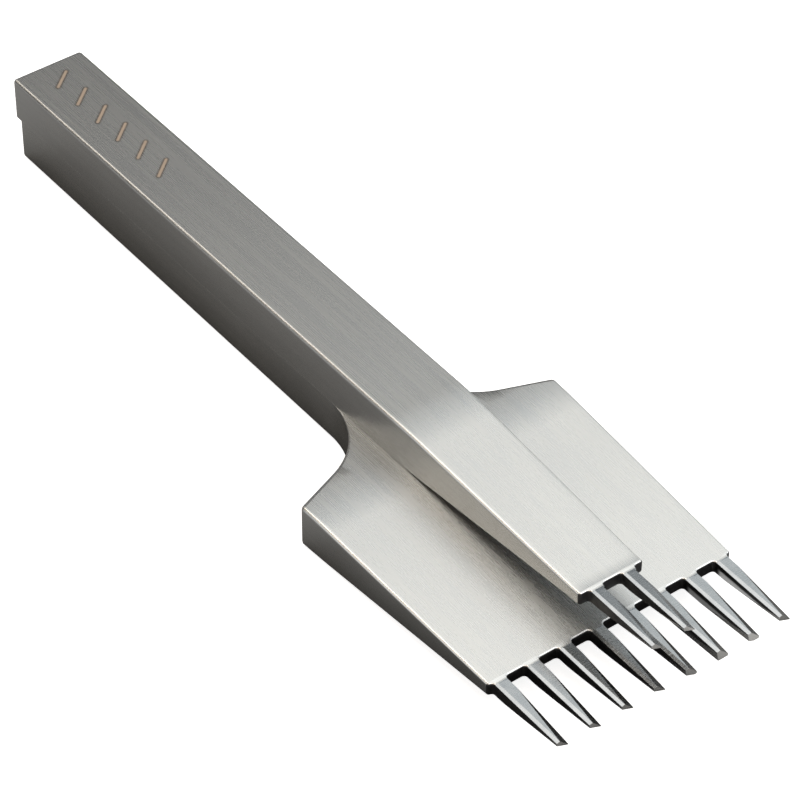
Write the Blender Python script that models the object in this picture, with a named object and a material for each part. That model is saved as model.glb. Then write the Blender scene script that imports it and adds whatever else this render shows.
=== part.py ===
"""A stacked pair of one-piece steel pricking irons for leather stitching.

The wide iron has eight teeth and lies flat; the narrow iron has two teeth and
rests on it, shank on shank, with its butt a little further back.  Each iron is
a single bar of steel: a rectangular shank that is struck at its butt end, a
head ground to a thin front edge on its top and underside, and a row of square
teeth whose opposite corners are ground away to leave slanted blades.

Frame: X runs across the row of teeth, +Y points from the struck butt to the
teeth, +Z is up.  The origin is the centre of the pair's bounding box on the
surface it rests on.  Units are metres.
"""

import math

import bmesh
import bpy
from mathutils import Vector

MM = 0.001

# Driving dimensions, shared by both irons
PITCH = 3.85 * MM                 # tooth to tooth, centre to centre
SHANK_WIDTH = 8.80 * MM
SHANK_THICKNESS = 4.85 * MM
HEAD_LENGTH = 28.00 * MM          # from the bend to the front edge
FRONT_THICKNESS = 1.55 * MM       # at the thin edge that the teeth stand on
BEND_RADIUS = 45.00 * MM          # soft bend between shank and ground head
STACK_GAP = 0.30 * MM             # clearance between the two shanks

# The wide iron
EIGHT_LENGTH = 96.30 * MM         # butt to front edge, without the teeth
EIGHT_FRONT_WIDTH = 29.60 * MM
EIGHT_REAR_WIDTH = 31.44 * MM     # across the wings' rear corners
NECK_RADIUS = 9.00 * MM           # concave corner between shank and wing
WING_SWEEP = math.radians(20.7)   # slope of the wing's rear edge
WING_CORNER_RADIUS = 0.60 * MM

# The narrow iron
TWO_LENGTH = 96.85 * MM
TWO_FRONT_WIDTH = 7.72 * MM
TWO_SETBACK = 0.30 * MM           # its front edge lies this far behind

# Teeth: square bars, ground by hand to blades that slant down towards -X
EIGHT_TOOTH_LENGTH = 9.40 * MM
TWO_TOOTH_LENGTH = 9.00 * MM
TOOTH_WIDTH = 1.53 * MM
TOOTH_HEIGHT = 1.50 * MM
TOOTH_TIP_SCALE = 0.90            # width and height left at the tip
GRIND_START = 0.30 * MM           # square stretch in front of the head
TOP_ROLL = math.radians(45)       # slope of the upper grind across the tooth
BOTTOM_ROLL = math.radians(24)    # slope of the lower grind across the tooth
TOP_AT_TIP = 0.36 * MM            # width of the top face left at the tip
TOOTH_ROOT = 1.20 * MM            # the part of a tooth inside the head

# Height of the +X face left at each tip, in millimetres, from +X to -X
EIGHT_SIDES_AT_TIP = (0.45, 0.50, 0.45, 0.40, 0.75, 1.20, 0.75, 0.45)
TWO_SIDES_AT_TIP = (0.45, 0.45)

# Facets of the curved stretches
NECK_STEPS = 14
CORNER_STEPS = 4
BEND_STEPS = 4

# Places worked out from the dimensions above
FRONT_Y = (TWO_LENGTH + TWO_SETBACK - EIGHT_TOOTH_LENGTH) / 2
LOWER_Z = SHANK_THICKNESS / 2
UPPER_Z = LOWER_Z + SHANK_THICKNESS + STACK_GAP
CUTTER_WIDTH = 2 * EIGHT_REAR_WIDTH


def clear_scene():
    """Remove the objects of the start-up scene."""
    for item in list(bpy.data.objects):
        bpy.data.objects.remove(item, do_unlink=True)


def new_collection(name):
    """Add a collection under the scene's own."""
    collection = bpy.data.collections.new(name)
    bpy.context.scene.collection.children.link(collection)
    return collection


def steel_material(name, colour, roughness):
    """Ground tool steel."""
    material = bpy.data.materials.new(name)
    material.use_nodes = True
    shader = material.node_tree.nodes["Principled BSDF"]
    shader.inputs["Base Color"].default_value = (*colour, 1.0)
    shader.inputs["Roughness"].default_value = roughness
    shader.inputs["Metallic"].default_value = 1.0
    return material


def arc(centre, radius, start, end, steps):
    """Points along a circular arc, both ends included."""
    points = []
    for step in range(steps + 1):
        angle = start + (end - start) * step / steps
        x = centre[0] + radius * math.cos(angle)
        y = centre[1] + radius * math.sin(angle)
        points.append((x, y))
    return points


def plate_from_outline(name, points, thickness, collection):
    """A flat plate with the given outline, centred on its mid-plane."""
    curve = bpy.data.curves.new(name, "CURVE")
    curve.dimensions = "2D"
    curve.fill_mode = "BOTH"
    curve.extrude = thickness / 2
    spline = curve.splines.new("POLY")
    spline.points.add(len(points) - 1)
    for point, (x, y) in zip(spline.points, points):
        point.co = (x, y, 0.0, 1.0)
    spline.use_cyclic_u = True
    outline = bpy.data.objects.new(name + "_outline", curve)
    collection.objects.link(outline)
    bpy.context.view_layer.update()
    graph = bpy.context.evaluated_depsgraph_get()
    mesh = bpy.data.meshes.new_from_object(outline.evaluated_get(graph))
    bpy.data.objects.remove(outline, do_unlink=True)
    shape = bmesh.new()
    shape.from_mesh(mesh)
    bmesh.ops.remove_doubles(shape, verts=shape.verts, dist=0.001 * MM)
    bmesh.ops.recalc_face_normals(shape, faces=shape.faces)
    shape.to_mesh(mesh)
    shape.free()
    mesh.name = name
    plate = bpy.data.objects.new(name, mesh)
    collection.objects.link(plate)
    return plate


def make_cutter(item):
    """Mark a helper solid, which isn't part of the object."""
    item.hide_render = True
    item.display_type = "WIRE"


def add_boolean(item, operation, other):
    """Combine an object with a helper solid."""
    modifier = item.modifiers.new(operation.title(), "BOOLEAN")
    modifier.operation = operation
    modifier.solver = "EXACT"
    modifier.object = other


def wing_outline(length, front_width, rear_width):
    """Half of the wide iron's outline at +X, front edge at y = 0, going back."""
    half = rear_width / 2
    taper = math.atan2((rear_width - front_width) / 2, HEAD_LENGTH)
    radius = WING_CORNER_RADIUS
    corner_x = half - radius
    corner_y = -HEAD_LENGTH
    points = [(front_width / 2, 0.0)]
    sweep_end = WING_SWEEP - math.pi / 2
    points += arc((corner_x, corner_y), radius, taper, sweep_end, CORNER_STEPS)
    neck_x = SHANK_WIDTH / 2 + NECK_RADIUS
    touch_x = corner_x + radius * math.sin(WING_SWEEP)
    touch_y = corner_y - radius * math.cos(WING_SWEEP)
    meet_x = neck_x - NECK_RADIUS * math.sin(WING_SWEEP)
    meet_y = touch_y - (touch_x - meet_x) * math.tan(WING_SWEEP)
    neck_y = meet_y - NECK_RADIUS * math.cos(WING_SWEEP)
    start = math.pi / 2 + WING_SWEEP
    points += arc((neck_x, neck_y), NECK_RADIUS, start, math.pi, NECK_STEPS)
    points.append((SHANK_WIDTH / 2, -length))
    return points


def plain_outline(length, front_width):
    """Half of the narrow iron's outline at +X, front edge at y = 0, going back."""
    half = SHANK_WIDTH / 2
    return [(front_width / 2, 0.0), (half, -HEAD_LENGTH), (half, -length)]


def mirrored(half_outline):
    """Close a half outline with its mirror image across X = 0."""
    other = [(-x, y) for x, y in reversed(half_outline)]
    return half_outline + other


def side_profile(length):
    """Side view as (y, z): a flat shank, soft bends and a thin front edge."""
    top = SHANK_THICKNESS / 2
    drop = top - FRONT_THICKNESS / 2
    slope = math.atan2(drop, HEAD_LENGTH)
    tangent = BEND_RADIUS * math.tan(slope / 2)
    centre = (-HEAD_LENGTH - tangent, top - BEND_RADIUS)
    up = math.pi / 2
    bend = arc(centre, BEND_RADIUS, up, up - slope, BEND_STEPS)
    upper = [(-length, top)] + bend + [(0.0, FRONT_THICKNESS / 2)]
    lower = [(y, -z) for y, z in reversed(upper)]
    return upper + lower


def grind(tooth, through, normal):
    """Plane away whatever lies on the normal's side of a plane."""
    solid = list(tooth.verts) + list(tooth.edges) + list(tooth.faces)
    cut = bmesh.ops.bisect_plane(
        tooth, geom=solid, plane_co=through, plane_no=normal, clear_outer=True)
    rim = [part for part in cut["geom_cut"] if isinstance(part, bmesh.types.BMEdge)]
    bmesh.ops.contextual_create(tooth, geom=rim)


def new_tooth(length, side_at_tip):
    """One square tooth with two opposite corners ground to a slanted blade."""
    tooth = bmesh.new()
    bmesh.ops.create_cube(tooth, size=1.0)
    for corner in tooth.verts:
        at_tip = corner.co.y > 0
        shrink = TOOTH_TIP_SCALE if at_tip else 1.0
        corner.co.x *= TOOTH_WIDTH * shrink
        corner.co.z *= TOOTH_HEIGHT * shrink
        corner.co.y = length if at_tip else -TOOTH_ROOT
    half_width = TOOTH_WIDTH / 2
    half_height = TOOTH_HEIGHT / 2
    tip_x = half_width * TOOTH_TIP_SCALE
    tip_z = half_height * TOOTH_TIP_SCALE
    upper_start = Vector((-half_width, GRIND_START, half_height))
    upper_end = Vector((tip_x - TOP_AT_TIP, length, tip_z))
    upper_across = Vector((math.cos(TOP_ROLL), 0.0, math.sin(TOP_ROLL)))
    grind(tooth, upper_start, upper_across.cross(upper_end - upper_start))
    lower_start = Vector((half_width, GRIND_START, -half_height))
    lower_end = Vector((tip_x, length, tip_z - side_at_tip))
    lower_across = Vector((math.cos(BOTTOM_ROLL), 0.0, math.sin(BOTTOM_ROLL)))
    grind(tooth, lower_start, (lower_end - lower_start).cross(lower_across))
    bmesh.ops.recalc_face_normals(tooth, faces=tooth.faces)
    return tooth


def tooth_row(name, length, sides_at_tip, collection):
    """A row of separate teeth, from +X to -X, front edge of the head at y = 0."""
    row = bmesh.new()
    last = len(sides_at_tip) - 1
    for index, side_at_tip in enumerate(sides_at_tip):
        tooth = new_tooth(length, side_at_tip * MM)
        offset = (last / 2 - index) * PITCH
        bmesh.ops.translate(tooth, verts=tooth.verts, vec=(offset, 0.0, 0.0))
        single = bpy.data.meshes.new(name + "_single")
        tooth.to_mesh(single)
        tooth.free()
        row.from_mesh(single)
        bpy.data.meshes.remove(single)
    mesh = bpy.data.meshes.new(name)
    row.to_mesh(mesh)
    row.free()
    teeth = bpy.data.objects.new(name, mesh)
    collection.objects.link(teeth)
    make_cutter(teeth)
    return teeth


def build_iron(name, outline, length, teeth, place, material, parts, cutters):
    """One iron: a plate cut to its side profile, with its teeth joined on."""
    iron = plate_from_outline(name, mirrored(outline), SHANK_THICKNESS, parts)
    iron.location = place
    profile = plate_from_outline(
        name + "_side_profile", side_profile(length), CUTTER_WIDTH, cutters)
    profile.rotation_euler = (math.pi / 2, 0.0, math.pi / 2)
    profile.location = place
    make_cutter(profile)
    teeth.location = place
    add_boolean(iron, "INTERSECT", profile)
    add_boolean(iron, "UNION", teeth)
    iron.data.materials.append(material)
    return iron


def main():
    """Build the stacked pair."""
    clear_scene()
    parts = new_collection("pricking_iron_pair")
    cutters = new_collection("cutters")
    lower_steel = steel_material("eight_prong_steel", (0.60, 0.60, 0.58), 0.30)
    upper_steel = steel_material("two_prong_steel", (0.58, 0.58, 0.56), 0.32)
    build_iron(
        "eight_prong_iron",
        wing_outline(EIGHT_LENGTH, EIGHT_FRONT_WIDTH, EIGHT_REAR_WIDTH),
        EIGHT_LENGTH,
        tooth_row("eight_teeth", EIGHT_TOOTH_LENGTH, EIGHT_SIDES_AT_TIP, cutters),
        (0.0, FRONT_Y, LOWER_Z),
        lower_steel, parts, cutters)
    build_iron(
        "two_prong_iron",
        plain_outline(TWO_LENGTH, TWO_FRONT_WIDTH),
        TWO_LENGTH,
        tooth_row("two_teeth", TWO_TOOTH_LENGTH, TWO_SIDES_AT_TIP, cutters),
        (0.0, FRONT_Y - TWO_SETBACK, UPPER_Z),
        upper_steel, parts, cutters)


main()
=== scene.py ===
import math

import bmesh
import bpy
from mathutils import Matrix, Vector


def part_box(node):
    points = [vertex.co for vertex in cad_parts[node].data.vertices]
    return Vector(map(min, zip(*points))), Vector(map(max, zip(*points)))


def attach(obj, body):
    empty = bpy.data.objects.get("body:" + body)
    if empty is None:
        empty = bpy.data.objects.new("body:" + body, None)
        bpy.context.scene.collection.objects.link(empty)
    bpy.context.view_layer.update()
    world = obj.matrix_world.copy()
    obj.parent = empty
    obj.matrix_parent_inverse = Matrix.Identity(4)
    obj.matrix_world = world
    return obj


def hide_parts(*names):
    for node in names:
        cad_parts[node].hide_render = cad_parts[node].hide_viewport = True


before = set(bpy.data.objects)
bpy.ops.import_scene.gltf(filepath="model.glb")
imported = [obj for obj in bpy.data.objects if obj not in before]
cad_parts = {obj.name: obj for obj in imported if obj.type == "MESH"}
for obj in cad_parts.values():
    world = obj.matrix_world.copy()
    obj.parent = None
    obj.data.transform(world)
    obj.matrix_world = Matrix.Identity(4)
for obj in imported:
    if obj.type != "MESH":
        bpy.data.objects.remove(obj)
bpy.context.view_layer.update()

MM = 0.001
MM_PER_METRE = 1000.0

# ---------------------------------------------------------------- dimensions
PITCH = 3.85 * MM                 # tooth middle to tooth middle
SHANK_WIDTH = 8.80 * MM
HEAD_LENGTH = 28.00 * MM
FRONT_THICKNESS = 1.55 * MM
BEND_FROM_FRONT = 26.20 * MM      # where the shank's level meets the head's slope
BEND_RADIUS = 85.00 * MM
NECK_RADIUS = 9.00 * MM
WING_SWEEP = math.radians(20.7)
WING_CORNER_RADIUS = 0.60 * MM
EIGHT_FRONT_WIDTH = 29.60 * MM
TWO_FRONT_WIDTH = 7.72 * MM
TWO_FRONT_LAND = 1.60 * MM        # a level strip behind the narrow iron's front
NOSE_STEP = 0.10 * MM             # half the length of the step down to the teeth
SEAM = 0.02 * MM                  # hairline between the two ground shanks
SLAB_HALF = 50.0 * MM             # a blank's half thickness, well over its edge radii
CUT_TOLERANCE = 1e-7

# Teeth
EIGHT_TEETH = 8
TWO_TEETH = 2
EIGHT_TOOTH_LENGTH = 9.40 * MM
TWO_TOOTH_LENGTH = 9.00 * MM
TOOTH_WIDTH = 1.53 * MM
TOOTH_HEIGHT = 1.50 * MM
TOOTH_TIP_SCALE = 0.90            # thickness at the tip
TOOTH_TIP_NARROWING = 0.96        # width at the tip

# Grinds on the teeth. A roll turns a facet about the tooth's length; a reach is how
# far its cutter goes from its edge line towards -X and towards +X.
GRIND_START = 0.30 * MM           # from the front to where the grinds begin
GRIND_OVERRUN = 0.1               # a cutter passes the tip by this share of its length
GRIND_DEPTH = 1.6 * MM            # a cutter's thickness
BEVEL_WIDTH = 0.37 * MM           # the bright bevel along each tooth's +X edge
BEVEL_ROLL = math.radians(-12)
BEVEL_REACH = (0.0, 1.2 * MM)
EIGHT_CROWN_ROLL = math.radians(8)
TWO_CROWN_ROLL = math.radians(18)
CROWN_REACH = (2.2 * MM, 0.0)
UPPER_ROLL = math.radians(45)     # the dark facet that widens along the -X edge
UPPER_REACH = (1.7 * MM, 1.0 * MM)
LOWER_ROLL = math.radians(24)     # the grind under the tip
LOWER_REACH = (2.2 * MM, 0.4 * MM)
SIDE_ROLL = math.radians(80)      # a steep grind low on the tooth's +X side
SIDE_START = 1.6 * MM             # from the front to where its line begins
SIDE_AT_TIP = 0.14 * MM           # how far under the top its line ends
SIDE_REACH = (2.4 * MM, 0.4 * MM)
# Height of the +X side left above the lower grind at each tip, in millimetres,
# from the +X tooth to the -X one
EIGHT_SIDES_AT_TIP = (0.45, 0.50, 0.50, 0.50, 0.80, 1.20, 0.95, 0.55)
TWO_SIDES_AT_TIP = (0.45, 0.45)

# Broken edges and small corners
LONG_EDGE = 0.42 * MM             # the shank's and wings' handled edges
FRONT_EDGE = 0.30 * MM
TOOTH_EDGE = 0.18 * MM
TIP_EDGE = 0.05 * MM
SEAM_EDGE = 0.03 * MM             # where one shank lies on the other
SEAM_STEP = 0.03 * MM             # the lower shank is this much narrower a side
BUTT_CORNER = 0.45 * MM           # upright edges, no smaller than the edges above
FRONT_CORNER = 0.32 * MM
SLOT_CORNER = 0.34 * MM           # wire-cut corner between slot and tooth
TIP_CORNER = 0.06 * MM
EDGE_STEPS = 4
NECK_STEPS = 40
CORNER_STEPS = 8
SLOT_STEPS = 6
TIP_STEPS = 3
BEND_STEPS = 8
SMOOTH_ANGLE = math.radians(35)
SLIVER = 0.0001 * MM              # edges shorter than this are closed up
WIRE_CUT_STEEPNESS = 0.6          # front faces with a normal's Z under this are wire-cut
FLAT_FACE_WEIGHT = 100


# ------------------------------------------------------------------ outlines
class Outline:
    """A closed plan outline: points with outward normals and edge radii."""

    def __init__(self):
        self.points = []

    def add(self, x, y, angle, top, bottom):
        """A point, its normal's direction and its top and bottom edge radii."""
        self.points.append((x, y, math.cos(angle), math.sin(angle), top, bottom))

    def arc(self, centre, radius, start, end, steps, top, bottom, hollow=False):
        """A rounded corner; a hollow one has its centre outside the steel."""
        for step in range(steps + 1):
            share = step / steps
            angle = start + (end - start) * share
            x = centre[0] + radius * math.cos(angle)
            y = centre[1] + radius * math.sin(angle)
            facing = angle + math.pi if hollow else angle
            edges = [low + (high - low) * share for low, high in (top, bottom)]
            self.add(x, y, facing, *edges)

    def close_with_mirror(self):
        """Add the mirror image across X = 0, in reverse order."""
        mirrored = [(-x, y, -nx, ny, top, bottom)
                    for x, y, nx, ny, top, bottom in reversed(self.points)]
        self.points += mirrored


def steady(radius):
    """An edge radius that stays the same along an arc."""
    return (radius, radius)


def add_front(outline, front_width, teeth, length, taper):
    """The front edge's +X half: shoulder, slots and teeth, from the middle out."""
    half = TOOTH_WIDTH / 2
    tip_half = half * TOOTH_TIP_NARROWING
    lean = math.atan2(half - tip_half, length)
    front = steady(FRONT_EDGE)
    into_tooth = (FRONT_EDGE, TOOTH_EDGE)
    out_of_tooth = (TOOTH_EDGE, FRONT_EDGE)
    tip = steady(TIP_EDGE)
    quarter = math.pi / 2
    for index in range(teeth // 2):
        middle = (index + 0.5) * PITCH
        left = middle - half
        right = middle + half
        # slot corner on the inner side, then the tooth's inner side
        outline.arc((left - SLOT_CORNER, SLOT_CORNER), SLOT_CORNER,
                    -quarter, -lean, SLOT_STEPS, into_tooth, into_tooth, True)
        reach = length - TIP_CORNER
        outline.arc((middle - tip_half + TIP_CORNER, reach), TIP_CORNER,
                    math.pi - lean, quarter, TIP_STEPS, tip, tip)
        outline.arc((middle + tip_half - TIP_CORNER, reach), TIP_CORNER,
                    quarter, lean, TIP_STEPS, tip, tip)
        outline.arc((right + SLOT_CORNER, SLOT_CORNER), SLOT_CORNER,
                    math.pi + lean, math.pi + quarter, SLOT_STEPS,
                    out_of_tooth, out_of_tooth, True)
    corner = FRONT_CORNER
    outline.arc((front_width / 2 - corner, -corner), corner,
                quarter, taper, CORNER_STEPS, front, front)


def add_butt(outline, half_width, length, top, bottom):
    """The shank's +X side and the rounded upright edge at its butt."""
    x = half_width - BUTT_CORNER
    outline.arc((x, BUTT_CORNER - length), BUTT_CORNER,
                0.0, -math.pi / 2, CORNER_STEPS, steady(top), steady(bottom))


def wide_outline(length, rear_width):
    """The eight-prong iron: wings swept back to a hollow neck."""
    outline = Outline()
    half = rear_width / 2
    taper = math.atan2((rear_width - EIGHT_FRONT_WIDTH) / 2, HEAD_LENGTH)
    add_front(outline, EIGHT_FRONT_WIDTH, EIGHT_TEETH, EIGHT_TOOTH_LENGTH, taper)
    radius = WING_CORNER_RADIUS
    sweep = WING_SWEEP - math.pi / 2
    edge = steady(LONG_EDGE)
    outline.arc((half - radius, -HEAD_LENGTH), radius, taper, sweep,
                CORNER_STEPS, edge, edge)
    touch_x = half - radius + radius * math.sin(WING_SWEEP)
    touch_y = -HEAD_LENGTH - radius * math.cos(WING_SWEEP)
    shank_half = SHANK_WIDTH / 2 - SEAM_STEP
    neck_x = shank_half + NECK_RADIUS
    meet_x = neck_x - NECK_RADIUS * math.sin(WING_SWEEP)
    meet_y = touch_y - (touch_x - meet_x) * math.tan(WING_SWEEP)
    neck_y = meet_y - NECK_RADIUS * math.cos(WING_SWEEP)
    outline.arc((neck_x, neck_y), NECK_RADIUS, math.pi / 2 + WING_SWEEP, math.pi,
                NECK_STEPS, (LONG_EDGE, SEAM_EDGE), edge, True)
    add_butt(outline, shank_half, length, SEAM_EDGE, LONG_EDGE)
    outline.close_with_mirror()
    return outline.points


def narrow_outline(length):
    """The two-prong iron: its shank runs straight into a narrow head."""
    outline = Outline()
    taper = math.atan2((SHANK_WIDTH - TWO_FRONT_WIDTH) / 2, HEAD_LENGTH)
    add_front(outline, TWO_FRONT_WIDTH, TWO_TEETH, TWO_TOOTH_LENGTH, taper)
    outline.add(SHANK_WIDTH / 2, -HEAD_LENGTH, taper / 2, LONG_EDGE, SEAM_EDGE)
    add_butt(outline, SHANK_WIDTH / 2, length, LONG_EDGE, SEAM_EDGE)
    outline.close_with_mirror()
    return outline.points


# ---------------------------------------------------------------- side shape
def height_stations(thickness, tooth_length, land):
    """Half thickness as (y, z) from the butt's flat to the tips."""
    top = thickness / 2
    nose = FRONT_THICKNESS / 2
    slope = math.atan2(top - nose, BEND_FROM_FRONT - land)
    tangent = BEND_RADIUS * math.tan(slope / 2)
    stations = []
    for step in range(BEND_STEPS + 1):
        angle = math.pi / 2 - slope * step / BEND_STEPS
        y = -BEND_FROM_FRONT - tangent + BEND_RADIUS * math.cos(angle)
        stations.append((y, top - BEND_RADIUS + BEND_RADIUS * math.sin(angle)))
    if land > NOSE_STEP:
        stations.append((-land, nose))
    stations.append((-NOSE_STEP, nose))
    stations.append((NOSE_STEP, TOOTH_HEIGHT / 2))
    stations.append((tooth_length, TOOTH_HEIGHT / 2 * TOOTH_TIP_SCALE))
    return stations


def height_at(stations, y):
    """Half thickness at y, read between the stations."""
    if y <= stations[0][0]:
        return stations[0][1]
    for (y0, z0), (y1, z1) in zip(stations, stations[1:]):
        if y <= y1:
            return z0 + (z1 - z0) * (y - y0) / (y1 - y0)
    return stations[-1][1]


def rounded_slab(points):
    """A flat slab, SLAB_HALF thick each way, with rounded rims."""
    slab = bmesh.new()
    rings = []
    for side in (1, -1):
        for step in range(EDGE_STEPS + 1):
            turn = math.pi / 2 * step / EDGE_STEPS
            ring = []
            for x, y, nx, ny, top, bottom in points:
                radius = top if side > 0 else bottom
                inward = radius * (1 - math.sin(turn))
                down = radius * (1 - math.cos(turn))
                ring.append(slab.verts.new(
                    (x - nx * inward, y - ny * inward, side * (SLAB_HALF - down))))
            rings.append(ring)
    upper = rings[:EDGE_STEPS + 1]
    lower = rings[EDGE_STEPS + 1:]
    ladder = upper + lower[::-1]
    count = len(points)
    for outer, inner in zip(ladder, ladder[1:]):
        for i in range(count):
            j = (i + 1) % count
            slab.faces.new((outer[i], outer[j], inner[j], inner[i]))
    caps = [slab.faces.new(upper[0]), slab.faces.new(lower[0])]
    bmesh.ops.triangulate(slab, faces=caps)
    bmesh.ops.recalc_face_normals(slab, faces=slab.faces)
    return slab


def shape_to_profile(slab, stations):
    """Cut the slab at each station and lift its two faces to the profile."""
    for y, _ in stations[:-1]:
        solid = list(slab.verts) + list(slab.edges) + list(slab.faces)
        bmesh.ops.bisect_plane(
            slab, geom=solid, plane_co=(0, y, 0), plane_no=(0, 1, 0), dist=CUT_TOLERANCE)
    for corner in slab.verts:
        side = 1 if corner.co.z > 0 else -1
        drop = SLAB_HALF - abs(corner.co.z)
        corner.co.z = side * (height_at(stations, corner.co.y) - drop)
    slab.normal_update()


def mark_wire_cut(slab, tooth_length):
    """Give the front faces, slots and tooth flanks the second finish."""
    for face in slab.faces:
        middle = face.calc_center_median()
        at_front = -FRONT_EDGE < middle.y < tooth_length - TIP_CORNER
        if at_front and abs(face.normal.z) < WIRE_CUT_STEEPNESS:
            face.material_index = 1


# ------------------------------------------------------------------- grinds
def skew_block(mesh, start, end, across, away, near, far, depth):
    """A block with one face through start and end, lying on the away side."""
    corners = []
    for base in (start, end):
        for along, out in ((-near, 0), (far, 0), (far, depth), (-near, depth)):
            corners.append(mesh.verts.new(base + across * along + away * out))
    first = corners[:4]
    last = corners[4:]
    mesh.faces.new(first)
    mesh.faces.new(last[::-1])
    for i in range(4):
        j = (i + 1) % 4
        mesh.faces.new((first[i], last[i], last[j], first[j]))


def grind_line(kind, length, side_at_tip, crown_roll):
    """A grind's edge line on the tooth (start, end), its roll and its reach."""
    half_width = TOOTH_WIDTH / 2
    half_height = TOOTH_HEIGHT / 2
    tip_x = half_width * TOOTH_TIP_NARROWING
    tip_z = half_height * TOOTH_TIP_SCALE
    if kind == "side":
        start = Vector((half_width, SIDE_START, -half_height))
        end = Vector((tip_x, length, tip_z - SIDE_AT_TIP))
        return start, end, SIDE_ROLL, SIDE_REACH
    if kind == "lower":
        start = Vector((half_width, GRIND_START, -half_height))
        end = Vector((tip_x, length, tip_z - side_at_tip * MM))
        return start, end, LOWER_ROLL, LOWER_REACH
    end = Vector((tip_x - BEVEL_WIDTH, length, tip_z))
    if kind == "upper":
        start = Vector((-half_width, GRIND_START, half_height))
        return start, end, UPPER_ROLL, UPPER_REACH
    start = Vector((half_width - BEVEL_WIDTH, GRIND_START, half_height))
    if kind == "crown":
        return start, end, crown_roll, CROWN_REACH
    return start, end, BEVEL_ROLL, BEVEL_REACH


def grind_blocks(name, middles, length, sides_at_tip, kind, crown_roll, place, finish):
    """One cutter per tooth for one of its grinds."""
    mesh = bmesh.new()
    for middle, side_at_tip in zip(middles, sides_at_tip):
        start, end, roll, (near, far) = grind_line(kind, length, side_at_tip, crown_roll)
        across = Vector((math.cos(roll), 0.0, math.sin(roll)))
        away = Vector((-math.sin(roll), 0.0, math.cos(roll)))
        if kind in ("side", "lower"):
            away = -away
        end += (end - start) * GRIND_OVERRUN
        shift = Vector((middle, 0.0, 0.0))
        skew_block(mesh, start + shift, end + shift, across, away, near, far, GRIND_DEPTH)
    bmesh.ops.recalc_face_normals(mesh, faces=mesh.faces)
    data = bpy.data.meshes.new(name)
    mesh.to_mesh(data)
    mesh.free()
    data.materials.append(finish)
    cutter = bpy.data.objects.new(name, data)
    cutter.location = place
    bpy.context.scene.collection.objects.link(cutter)
    return cutter


# -------------------------------------------------------------- whole pieces
def build_iron(name, points, stations, tooth_length, sides_at_tip, crown_roll, place, finishes):
    """One iron as a single clean mesh in world coordinates."""
    brushed, wire_cut, ground = finishes
    slab = rounded_slab(points)
    shape_to_profile(slab, stations)
    mark_wire_cut(slab, tooth_length)
    mesh = bpy.data.meshes.new(name + "_blank")
    slab.to_mesh(mesh)
    slab.free()
    mesh.materials.append(brushed)
    mesh.materials.append(wire_cut)
    blank = bpy.data.objects.new(name + "_blank", mesh)
    blank.location = place
    bpy.context.scene.collection.objects.link(blank)
    last = len(sides_at_tip) - 1
    middles = [(last / 2 - index) * PITCH for index in range(last + 1)]
    cutters = []
    for kind in ("crown", "bevel", "upper", "lower", "side"):
        cutter = grind_blocks(
            name + "_grind", middles, tooth_length, sides_at_tip, kind, crown_roll, place,
            brushed if kind == "lower" else ground)
        cut = blank.modifiers.new("Grind", "BOOLEAN")
        cut.operation = "DIFFERENCE"
        cut.solver = "EXACT"
        cut.material_mode = "TRANSFER"
        cut.object = cutter
        cutters.append(cutter)
    bpy.context.view_layer.update()
    graph = bpy.context.evaluated_depsgraph_get()
    finished = bpy.data.meshes.new_from_object(blank.evaluated_get(graph))
    tidied = bmesh.new()
    tidied.from_mesh(finished)
    bmesh.ops.dissolve_degenerate(tidied, edges=tidied.edges, dist=SLIVER)
    tidied.to_mesh(finished)
    tidied.free()
    finished.transform(blank.matrix_world)
    for helper in cutters + [blank]:
        bpy.data.objects.remove(helper, do_unlink=True)
    finished.name = name
    finished.shade_smooth()
    finished.set_sharp_from_angle(angle=SMOOTH_ANGLE)
    iron = bpy.data.objects.new(name, finished)
    bpy.context.scene.collection.objects.link(iron)
    weighted = iron.modifiers.new("Flat faces stay flat", "WEIGHTED_NORMAL")
    weighted.keep_sharp = True
    weighted.weight = FLAT_FACE_WEIGHT
    return iron


# ---------------------------------------------------------------- materials
class Nodes:
    """Small helper that adds and wires shader nodes."""

    def __init__(self, tree):
        self.tree = tree
        tree.nodes.clear()

    def add(self, kind, **settings):
        node = self.tree.nodes.new(kind)
        for key, value in settings.items():
            setattr(node, key, value)
        return node

    def feed(self, socket, value):
        """Link an output to a socket, or set the socket's own value."""
        if isinstance(value, bpy.types.NodeSocket):
            self.tree.links.new(value, socket)
        else:
            socket.default_value = value

    def math(self, operation, *values):
        node = self.add("ShaderNodeMath", operation=operation)
        for socket, value in zip(node.inputs, values):
            self.feed(socket, value)
        return node.outputs[0]

    def vector(self, operation, *values):
        node = self.add("ShaderNodeVectorMath", operation=operation)
        for socket, value in zip(node.inputs, values):
            self.feed(socket, value)
        return node.outputs["Value" if operation == "DOT_PRODUCT" else "Vector"]

    def noise(self, place, scale, detail, roughness):
        node = self.add("ShaderNodeTexNoise")
        self.feed(node.inputs["Vector"], self.vector("MULTIPLY", place, scale))
        node.inputs["Scale"].default_value = 1.0
        node.inputs["Detail"].default_value = detail
        node.inputs["Roughness"].default_value = roughness
        return node.outputs["Fac"]

    def span(self, value, low, high, to_low, to_high, smooth=False):
        node = self.add("ShaderNodeMapRange")
        if smooth:
            node.interpolation_type = "SMOOTHSTEP"
        for socket, item in zip(node.inputs, (value, low, high, to_low, to_high)):
            self.feed(socket, item)
        return node.outputs[0]

    def mix(self, share, first, second):
        node = self.add("ShaderNodeMix", data_type="RGBA")
        self.feed(node.inputs[0], share)
        self.feed(node.inputs[6], first)
        self.feed(node.inputs[7], second)
        return node.outputs[2]


# A noise's detail and roughness
FINE_NOISE = (3.0, 0.6)
SOFT_NOISE = (2.0, 0.5)
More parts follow.
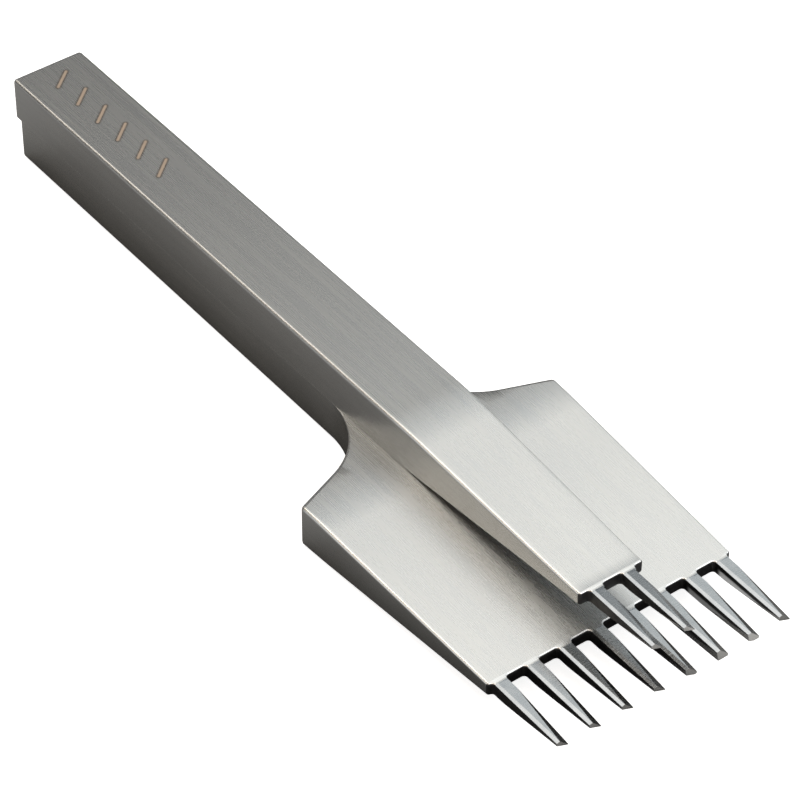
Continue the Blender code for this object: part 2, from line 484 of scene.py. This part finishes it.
# Noise runs from about 0 to 1; these are the parts of it that the finishes use
CLOUD = (0.3, 0.7)
SCRATCH = (0.35, 0.65)

# The stitch strokes etched near the narrow iron's butt, in millimetres
MARK_FIRST_Y = -50.0
MARK_STROKES = 6
MARK_MIDDLE_X = 0.1
MARK_SLANT = math.radians(40)
MARK_HALF_LENGTH = 1.45
MARK_CORE = (0.10, 0.22)          # from a stroke's middle line, where the core fades
MARK_HALO = (0.18, 0.46)
MARK_ABOVE = 9.5                  # the strokes are on the top face only
MARK_COLOUR = (0.52, 0.41, 0.32, 1.0)
MARK_METAL = 0.1
MARK_ROUGHER = 0.25
HALO_COLOUR = (0.20, 0.15, 0.115, 1.0)
HALO_SHARE = 0.75


def stitch_mark(nodes, place):
    """Mask of a row of slanted stitch strokes; returns (core, halo)."""
    split = nodes.add("ShaderNodeSeparateXYZ")
    nodes.feed(split.inputs[0], place)
    x, y, z = split.outputs
    pitch = PITCH / MM
    steps = nodes.math("DIVIDE", nodes.math("SUBTRACT", y, MARK_FIRST_Y), pitch)
    index = nodes.math("ROUND", steps)
    index = nodes.math("MINIMUM", nodes.math("MAXIMUM", index, 0.0), MARK_STROKES - 1.0)
    local_y = nodes.math("MULTIPLY", nodes.math("SUBTRACT", steps, index), pitch)
    local_x = nodes.math("SUBTRACT", x, MARK_MIDDLE_X)
    along = nodes.math("ADD", nodes.math("MULTIPLY", local_x, math.cos(MARK_SLANT)),
                       nodes.math("MULTIPLY", local_y, math.sin(MARK_SLANT)))
    across = nodes.math("SUBTRACT", nodes.math("MULTIPLY", local_y, math.cos(MARK_SLANT)),
                        nodes.math("MULTIPLY", local_x, math.sin(MARK_SLANT)))
    past_end = nodes.math("SUBTRACT", nodes.math("ABSOLUTE", along), MARK_HALF_LENGTH)
    over = nodes.math("MAXIMUM", past_end, 0.0)
    away = nodes.math("SQRT", nodes.math("ADD", nodes.math("MULTIPLY", over, over),
                                         nodes.math("MULTIPLY", across, across)))
    on_top = nodes.math("GREATER_THAN", z, MARK_ABOVE)
    core = nodes.math("MULTIPLY", nodes.span(away, *MARK_CORE, 1.0, 0.0, True), on_top)
    halo = nodes.math("MULTIPLY", nodes.span(away, *MARK_HALO, 1.0, 0.0, True), on_top)
    return core, halo


def start_steel(name):
    """A new material: itself, its nodes, the coordinates, the place in millimetres."""
    material = bpy.data.materials.new(name)
    material.use_nodes = True
    nodes = Nodes(material.node_tree)
    coordinates = nodes.add("ShaderNodeTexCoord")
    place = nodes.vector("SCALE", coordinates.outputs["Object"])
    place.node.inputs["Scale"].default_value = MM_PER_METRE
    return material, nodes, coordinates, place


def finish_steel(nodes, shader, relief, depth):
    """Give the shader its scratches' relief and connect it to the output."""
    bump = nodes.add("ShaderNodeBump")
    bump.inputs["Distance"].default_value = depth
    nodes.feed(bump.inputs["Height"], relief)
    nodes.feed(shader.inputs["Normal"], bump.outputs[0])
    output = nodes.add("ShaderNodeOutputMaterial")
    nodes.feed(output.inputs["Surface"], shader.outputs[0])


# The wire-cut finish: noise sizes are waves per millimetre along X, Y and Z
WIRE_CUT_GRAIN = (18.0, 18.0, 18.0)
WIRE_CUT_CLOUD = (0.9, 0.9, 0.9)
WIRE_CUT_COLOURS = ((0.055, 0.055, 0.058, 1.0), (0.10, 0.10, 0.10, 1.0))
WIRE_CUT_ROUGHNESS = (0.42, 0.58)
WIRE_CUT_DEPTH = 0.004 * MM
# Where a painted reflection of the pale floor lightens the low half of the -X teeth's
# flanks, in millimetres along Z, Y and X
FLANK_REFLECTION_BELOW = (2.75, 2.45)
FLANK_REFLECTION_AHEAD = (44.3, 45.0)
FLANK_REFLECTION_ACROSS = (-4.0, -12.0)
FLANK_REFLECTION_COLOUR = (0.46, 0.47, 0.48, 1.0)


def wire_cut_steel():
    """The dark matt surface that the cutting wire leaves in and beside the slots, with a
    painted reflection low on the -X teeth's flanks.
    """
    material, nodes, _, place = start_steel("wire_cut_steel")
    grain = nodes.noise(place, WIRE_CUT_GRAIN, *FINE_NOISE)
    cloud = nodes.noise(place, WIRE_CUT_CLOUD, *SOFT_NOISE)
    split = nodes.add("ShaderNodeSeparateXYZ")
    nodes.feed(split.inputs[0], place)
    low = nodes.span(split.outputs[2], *FLANK_REFLECTION_BELOW, 0.0, 1.0, True)
    ahead = nodes.span(split.outputs[1], *FLANK_REFLECTION_AHEAD, 0.0, 1.0, True)
    across = nodes.span(split.outputs[0], *FLANK_REFLECTION_ACROSS, 0.0, 1.0)
    # painted reflection of the pale floor: a pale, non-metal band low on the flanks
    flank_reflection = nodes.math("MULTIPLY", nodes.math("MULTIPLY", low, ahead), across)
    shader = nodes.add("ShaderNodeBsdfPrincipled")
    nodes.feed(shader.inputs["Metallic"], nodes.span(flank_reflection, 0.0, 1.0, 1.0, 0.0))
    plain = nodes.mix(nodes.span(cloud, *CLOUD, 0.0, 1.0), *WIRE_CUT_COLOURS)
    nodes.feed(shader.inputs["Base Color"], nodes.mix(flank_reflection, plain, FLANK_REFLECTION_COLOUR))
    nodes.feed(shader.inputs["Roughness"], nodes.span(grain, *SCRATCH, *WIRE_CUT_ROUGHNESS))
    finish_steel(nodes, shader, grain, WIRE_CUT_DEPTH)
    return material


# The teeth's ground finish
GROUND_SCRATCH = (1.2, 14.0, 3.0)
GROUND_CLOUD = (0.8, 0.8, 0.8)
GROUND_COLOURS = ((0.52, 0.535, 0.55, 1.0), (0.60, 0.61, 0.62, 1.0))
GROUND_ROUGHNESS = (0.20, 0.30)
GROUND_DEPTH = 0.0004 * MM


def ground_steel():
    """The teeth's ground facets: a satin finish with fine cross scratches."""
    material, nodes, _, place = start_steel("ground_tooth_steel")
    cross = nodes.noise(place, GROUND_SCRATCH, *FINE_NOISE)
    cloud = nodes.noise(place, GROUND_CLOUD, *SOFT_NOISE)
    shader = nodes.add("ShaderNodeBsdfPrincipled")
    shader.inputs["Metallic"].default_value = 1.0
    shade = nodes.mix(nodes.span(cloud, *CLOUD, 0.0, 1.0), *GROUND_COLOURS)
    nodes.feed(shader.inputs["Base Color"], shade)
    nodes.feed(shader.inputs["Roughness"], nodes.span(cross, *SCRATCH, *GROUND_ROUGHNESS))
    finish_steel(nodes, shader, cross, GROUND_DEPTH)
    return material


# The brushed finish: long thin scratches along Y
BRUSHED_FINE = (7.0, 0.09, 7.0)
BRUSHED_BROAD = (1.6, 0.035, 1.6)
BRUSHED_CLOUD = (0.25, 0.08, 0.25)
BRUSHED_FINE_SHARE = 0.6
BRUSHED_DARK = (0.550, 0.560, 0.560, 1.0)
BRUSHED_LIGHTS = ((0.590, 0.596, 0.596, 1.0), (0.622, 0.626, 0.620, 1.0))
BRUSHED_TOP_ROUGHNESS = (0.25, 0.30)
BRUSHED_SIDE_ROUGHNESS = (0.15, 0.20)
BRUSHED_DEPTH = 0.0012 * MM
BRUSHED_OFFSETS = (1.0, 1.7, 0.6)  # how a seed shifts the pattern
FLAT_FROM = (0.6, 0.95)           # a top or bottom face, by its normal's Z
# Rounded edges, by their normal's Z, get a painted highlight: a near-white base colour
EDGE_BELOW = (0.985, 0.95)
EDGE_ABOVE = (0.30, 0.50)
EDGE_HIGHLIGHT_COLOUR = (0.95, 0.95, 0.94, 1.0)
TANGENT_NUDGE = (0.01, 0.0, 0.0)  # keeps the tangent's length over zero on the ends


def brushed_steel(name, seed, marked=False):
    """Brushed tool steel; fine scratches run along the iron's length."""
    material, nodes, coordinates, place = start_steel(name)
    place_in = nodes.vector("ADD", place, [seed * offset for offset in BRUSHED_OFFSETS])
    fine = nodes.noise(place_in, BRUSHED_FINE, *FINE_NOISE)
    broad = nodes.noise(place_in, BRUSHED_BROAD, *SOFT_NOISE)
    cloud = nodes.noise(place_in, BRUSHED_CLOUD, *SOFT_NOISE)
    facing = nodes.add("ShaderNodeSeparateXYZ")
    nodes.feed(facing.inputs[0], coordinates.outputs["Normal"])
    upright = nodes.math("ABSOLUTE", facing.outputs[2])
    flatness = nodes.span(upright, *FLAT_FROM, 0.0, 1.0)
    # painted highlight: rounded edges get a near-white base colour
    edge_highlight = nodes.math("MULTIPLY", nodes.span(upright, *EDGE_BELOW, 0.0, 1.0, True),
                      nodes.span(upright, *EDGE_ABOVE, 0.0, 1.0, True))
    streak = nodes.math("ADD", nodes.math("MULTIPLY", fine, BRUSHED_FINE_SHARE),
                        nodes.math("MULTIPLY", broad, 1.0 - BRUSHED_FINE_SHARE))
    shader = nodes.add("ShaderNodeBsdfPrincipled")
    light = nodes.mix(nodes.span(cloud, *CLOUD, 0.0, 1.0), *BRUSHED_LIGHTS)
    face = nodes.mix(nodes.span(streak, *SCRATCH, 0.0, 1.0), BRUSHED_DARK, light)
    colour = nodes.mix(edge_highlight, face, EDGE_HIGHLIGHT_COLOUR)
    metallic = 1.0
    rough_top = nodes.span(streak, *SCRATCH, *BRUSHED_TOP_ROUGHNESS)
    rough_side = nodes.span(cloud, *CLOUD, *BRUSHED_SIDE_ROUGHNESS)
    steepness = nodes.math("SUBTRACT", 1.0, flatness)
    rough = nodes.math("ADD", nodes.math("MULTIPLY", rough_top, flatness),
                       nodes.math("MULTIPLY", rough_side, steepness))
    if marked:
        core, halo = stitch_mark(nodes, place)
        colour = nodes.mix(nodes.math("MULTIPLY", halo, HALO_SHARE), colour, HALO_COLOUR)
        colour = nodes.mix(core, colour, MARK_COLOUR)
        metallic = nodes.span(core, 0.0, 1.0, 1.0, MARK_METAL)
        rough = nodes.math("ADD", nodes.math("MULTIPLY", core, MARK_ROUGHER), rough)
    nodes.feed(shader.inputs["Base Color"], colour)
    nodes.feed(shader.inputs["Metallic"], metallic)
    nodes.feed(shader.inputs["Roughness"], rough)
    shader.inputs["Anisotropic"].default_value = 1.0
    tangent = nodes.vector("CROSS_PRODUCT", coordinates.outputs["Normal"], (0.0, 1.0, 0.0))
    nodes.feed(shader.inputs["Tangent"], nodes.vector("ADD", tangent, TANGENT_NUDGE))
    finish_steel(nodes, shader, streak, BRUSHED_DEPTH)
    return material


# ------------------------------------------------------------ studio and view
# Colour of the studio against a direction's Y component: two bright softboxes with a
# softer gap straight above between them, and dim ends behind the butts and before the
# tips.
STUDIO_STOPS = (
    (-1.00, (0.30, 0.30, 0.30)),
    (-0.71, (0.25, 0.25, 0.25)),
    (-0.66, (0.33, 0.33, 0.33)),
    (-0.63, (0.475, 0.475, 0.47)),
    (-0.59, (0.64, 0.64, 0.63)),
    (-0.52, (0.94, 0.98, 1.00)),
    (-0.49, (1.30, 1.30, 1.27)),
    (-0.42, (1.50, 1.50, 1.46)),
    (-0.36, (1.95, 1.95, 1.92)),
    (-0.24, (1.95, 1.95, 1.92)),
    (-0.13, (1.05, 1.05, 1.05)),
    (0.13, (1.00, 1.00, 1.00)),
    (0.24, (1.95, 1.95, 1.95)),
    (0.50, (1.90, 1.90, 1.90)),
    (0.68, (0.55, 0.55, 0.55)),
    (1.00, (0.55, 0.55, 0.55)),
)
STUDIO_PEAK = 2.0                 # the ramp holds the colours divided by this
# Its fall-off to either side, in degrees from overhead towards +X
SIDE_STOPS = (
    (-90, (0.20, 0.20, 0.20)),
    (-66, (0.34, 0.36, 0.37)),
    (-50, (0.60, 0.64, 0.65)),
    (-37, (1.00, 1.00, 1.00)),
    (-6, (1.00, 1.00, 1.00)),
    (10, (0.95, 0.90, 0.82)),
    (24, (0.41, 0.310, 0.215)),
    (34, (0.24, 0.155, 0.085)),
    (46, (0.30, 0.270, 0.240)),
    (62, (0.52, 0.520, 0.520)),
    (90, (0.40, 0.40, 0.40)),
)
# A long, narrow strip light above and behind, which draws the edges' white
# lines; its sides are in degrees, its ends are Y components of the direction
STRIP_FROM = 0.0
STRIP_TO = 20.0
STRIP_EDGE = 5.0
STRIP_BEGINS = (-0.80, -0.70)
STRIP_ENDS = (-0.42, -0.28)
STRIP_COLOUR = (1.0, 0.93, 0.82, 1.0)
STRIP_STRENGTH = 1.60
BACKDROP_COLOUR = (1.0, 1.0, 1.0, 1.0)
BACKDROP_STRENGTH = 1.1


def fill_ramp(ramp, stops):
    """Set a colour ramp's stops from (position, colour) pairs."""
    while len(ramp.elements) < len(stops):
        ramp.elements.new(0.5)  # anywhere: its own position is set below
    for element, (position, colour) in zip(ramp.elements, stops):
        element.position = position
        element.color = [*colour, 1.0]


def studio_world():
    """A soft studio; the camera itself sees plain white behind the floor."""
    world = bpy.data.worlds.new("studio")
    bpy.context.scene.world = world
    world.use_nodes = True
    nodes = Nodes(world.node_tree)
    direction = nodes.add("ShaderNodeTexCoord").outputs["Generated"]
    split = nodes.add("ShaderNodeSeparateXYZ")
    nodes.feed(split.inputs[0], direction)
    ramp = nodes.add("ShaderNodeValToRGB")
    nodes.feed(ramp.inputs[0], nodes.span(split.outputs[1], -1.0, 1.0, 0.0, 1.0))
    fill_ramp(ramp.color_ramp, [
        ((y + 1) / 2, [channel / STUDIO_PEAK for channel in colour])
        for y, colour in STUDIO_STOPS])
    turn = nodes.math("DEGREES", nodes.math("ARCTAN2", split.outputs[0], split.outputs[2]))
    sides = nodes.add("ShaderNodeValToRGB")
    nodes.feed(sides.inputs[0], nodes.span(turn, -90.0, 90.0, 0.0, 1.0))
    fill_ramp(sides.color_ramp, [((angle + 90) / 180, colour) for angle, colour in SIDE_STOPS])
    shown = nodes.add("ShaderNodeBackground")
    nodes.feed(shown.inputs[0], nodes.vector("MULTIPLY", ramp.outputs[0], sides.outputs[0]))
    shown.inputs[1].default_value = STUDIO_PEAK
    rising = nodes.span(turn, STRIP_FROM - STRIP_EDGE, STRIP_FROM + STRIP_EDGE, 0.0, 1.0, True)
    fading = nodes.span(turn, STRIP_TO - STRIP_EDGE, STRIP_TO + STRIP_EDGE, 1.0, 0.0, True)
    strip = nodes.add("ShaderNodeBackground")
    strip.inputs[0].default_value = STRIP_COLOUR
    begins = nodes.span(split.outputs[1], *STRIP_BEGINS, 0.0, STRIP_STRENGTH, True)
    ends = nodes.span(split.outputs[1], *STRIP_ENDS, 1.0, 0.0, True)
    beside = nodes.math("MULTIPLY", rising, fading)
    nodes.feed(strip.inputs[1], nodes.math(
        "MULTIPLY", beside, nodes.math("MULTIPLY", begins, ends)))
    both = nodes.add("ShaderNodeAddShader")
    nodes.feed(both.inputs[0], shown.outputs[0])
    nodes.feed(both.inputs[1], strip.outputs[0])
    plain = nodes.add("ShaderNodeBackground")
    plain.inputs[0].default_value = BACKDROP_COLOUR
    plain.inputs[1].default_value = BACKDROP_STRENGTH
    path = nodes.add("ShaderNodeLightPath")
    chooser = nodes.add("ShaderNodeMixShader")
    nodes.feed(chooser.inputs[0], path.outputs["Is Camera Ray"])
    nodes.feed(chooser.inputs[1], both.outputs[0])
    nodes.feed(chooser.inputs[2], plain.outputs[0])
    output = nodes.add("ShaderNodeOutputWorld")
    nodes.feed(output.inputs[0], chooser.outputs[0])


def flat_sheet(name, size, height):
    """A level square under the object."""
    mesh = bpy.data.meshes.new(name)
    half = size / 2
    corners = [(-half, -half, 0), (half, -half, 0), (half, half, 0), (-half, half, 0)]
    mesh.from_pydata(corners, [], [(0, 1, 2, 3)])
    sheet = bpy.data.objects.new(name, mesh)
    sheet.location.z = height
    bpy.context.scene.collection.objects.link(sheet)
    return sheet


FLOOR_SIZE = 6.0
FLOOR_HEIGHT = -0.1 * MM
FLOOR_COLOUR = (0.85, 0.85, 0.85, 1.0)
FLOOR_ROUGHNESS = 0.9
FLOOR_SHINE = 0.1
FLOOR_GLOW_COLOUR = (1.0, 1.0, 1.0, 1.0)
FLOOR_GLOW = 0.85                 # keeps the shadows on the pale floor faint


def plain_floor():
    """The pale floor that the camera sees."""
    floor = flat_sheet("floor", FLOOR_SIZE, FLOOR_HEIGHT)
    material = bpy.data.materials.new("pale_floor")
    material.use_nodes = True
    shader = material.node_tree.nodes["Principled BSDF"]
    shader.inputs["Base Color"].default_value = FLOOR_COLOUR
    shader.inputs["Roughness"].default_value = FLOOR_ROUGHNESS
    shader.inputs["Specular IOR Level"].default_value = FLOOR_SHINE
    shader.inputs["Emission Color"].default_value = FLOOR_GLOW_COLOUR
    shader.inputs["Emission Strength"].default_value = FLOOR_GLOW
    floor.data.materials.append(material)
    floor.visible_glossy = False


# The card's grey, with the irons' shade and light painted in. Each span is (from, to) in metres
# and (grey from, grey to).
CARD_SIZE = 4.0
CARD_HEIGHT = -0.05 * MM
# painted shade under the irons' heads
CARD_BEHIND_Y = (0.010, 0.040)    # darker from the necks to the fronts
CARD_BEHIND_GREY = (0.36, 0.145)
# painted light on the table beyond the irons' shade
CARD_AHEAD_Y = (0.054, 0.058)     # paler beyond the tips
CARD_AHEAD_GREY = (0.0, 0.42)
# painted light that falls through the slots under the -X teeth
CARD_ACROSS_X = (0.002, -0.0115)  # paler under the -X teeth, dark again by the last
CARD_ACROSS_GREY = (0.0, 0.80)
CARD_PAST_X = (-0.012, -0.014)
CARD_PAST_SHARE = (1.0, 0.10)
CARD_TEETH_Y = (0.041, 0.045)     # where the teeth begin
# painted contact shade close to the irons
CARD_OPENNESS_REACH = 0.06        # how far off the irons darken it
CARD_OPENNESS_POWER = 1.5
CARD_OPENNESS_SAMPLES = 8


def dark_card():
    """A dark table at floor level, which only the steel's reflections see, with the irons'
    shade and light painted into its grey.
    """
    card = flat_sheet("dark_card", CARD_SIZE, CARD_HEIGHT)
    material = bpy.data.materials.new("dark_card")
    material.use_nodes = True
    nodes = Nodes(material.node_tree)
    openness = nodes.add("ShaderNodeAmbientOcclusion", samples=CARD_OPENNESS_SAMPLES)
    openness.inputs["Distance"].default_value = CARD_OPENNESS_REACH
    split = nodes.add("ShaderNodeSeparateXYZ")
    nodes.feed(split.inputs[0], nodes.add("ShaderNodeTexCoord").outputs["Object"])
    x, y, _ = split.outputs
    # painted contact shade near the irons, then painted shade and light by place
    shade = nodes.math("POWER", openness.outputs["AO"], CARD_OPENNESS_POWER)
    behind = nodes.span(y, *CARD_BEHIND_Y, *CARD_BEHIND_GREY)
    ahead = nodes.span(y, *CARD_AHEAD_Y, *CARD_AHEAD_GREY)
    across = nodes.math("MULTIPLY", nodes.span(x, *CARD_ACROSS_X, *CARD_ACROSS_GREY),
                        nodes.span(x, *CARD_PAST_X, *CARD_PAST_SHARE))
    beside = nodes.math("MULTIPLY", across, nodes.span(y, *CARD_TEETH_Y, 0.0, 1.0))
    light = nodes.math("MAXIMUM", ahead, beside)
    grey = nodes.math("MULTIPLY", nodes.math("ADD", behind, light), shade)
    shader = nodes.add("ShaderNodeBsdfDiffuse")
    nodes.feed(shader.inputs["Color"], grey)
    output = nodes.add("ShaderNodeOutputMaterial")
    nodes.feed(output.inputs["Surface"], shader.outputs[0])
    card.data.materials.append(material)
    card.visible_camera = False
    card.visible_shadow = False
    card.visible_diffuse = False


CAMERA_PLACE = (0.164363, 0.227966, 0.251956)
CAMERA_RIGHT = (-0.798803, 0.601588, 0.002259)
CAMERA_BACK = (0.448518, 0.593041, 0.668680)
CAMERA_SENSOR = 36.0
CAMERA_LENS = 166.5
CAMERA_CLIP_START = 0.01


def make_camera():
    """The camera, which looks down from before the teeth, on their +X side."""
    camera = bpy.data.objects.new("camera", bpy.data.cameras.new("camera"))
    camera.data.sensor_width = CAMERA_SENSOR
    camera.data.lens = CAMERA_LENS
    camera.data.clip_start = CAMERA_CLIP_START
    right = Vector(CAMERA_RIGHT)
    back = Vector(CAMERA_BACK)
    up = back.cross(right)
    turn = Matrix((right, up, back)).transposed().to_4x4()
    camera.matrix_world = Matrix.Translation(CAMERA_PLACE) @ turn
    bpy.context.scene.collection.objects.link(camera)
    bpy.context.scene.camera = camera


# Different seeds, so that the two irons' scratches differ
EIGHT_SEED = 11.0
TWO_SEED = 47.0


def main():
    """Build both irons, their finish and the studio."""
    low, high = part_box("eight_prong_iron")
    eight_front = high.y - EIGHT_TOOTH_LENGTH
    eight_length = eight_front - low.y
    seam = (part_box("two_prong_iron")[0].z + high.z) / 2
    eight_thickness = seam - SEAM / 2 - low.z
    wire_cut = wire_cut_steel()
    ground = ground_steel()
    wide = build_iron(
        "wide_iron", wide_outline(eight_length, high.x - low.x),
        height_stations(eight_thickness, EIGHT_TOOTH_LENGTH, 0.0),
        EIGHT_TOOTH_LENGTH, EIGHT_SIDES_AT_TIP, EIGHT_CROWN_ROLL,
        (0.0, eight_front, low.z + eight_thickness / 2),
        (brushed_steel("wide_iron_steel", EIGHT_SEED), wire_cut, ground))
    low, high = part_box("two_prong_iron")
    two_front = high.y - TWO_TOOTH_LENGTH
    two_length = two_front - low.y
    two_thickness = high.z - seam - SEAM / 2
    narrow = build_iron(
        "narrow_iron", narrow_outline(two_length),
        height_stations(two_thickness, TWO_TOOTH_LENGTH, TWO_FRONT_LAND),
        TWO_TOOTH_LENGTH, TWO_SIDES_AT_TIP, TWO_CROWN_ROLL,
        (0.0, two_front, high.z - two_thickness / 2),
        (brushed_steel("narrow_iron_steel", TWO_SEED, True), wire_cut, ground))
    for piece, node in ((wide, "eight_prong_iron"), (narrow, "two_prong_iron")):
        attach(piece, node)
        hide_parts(node)
    studio_world()
    plain_floor()
    dark_card()
    make_camera()
    bpy.context.scene.view_settings.view_transform = "Standard"


main()
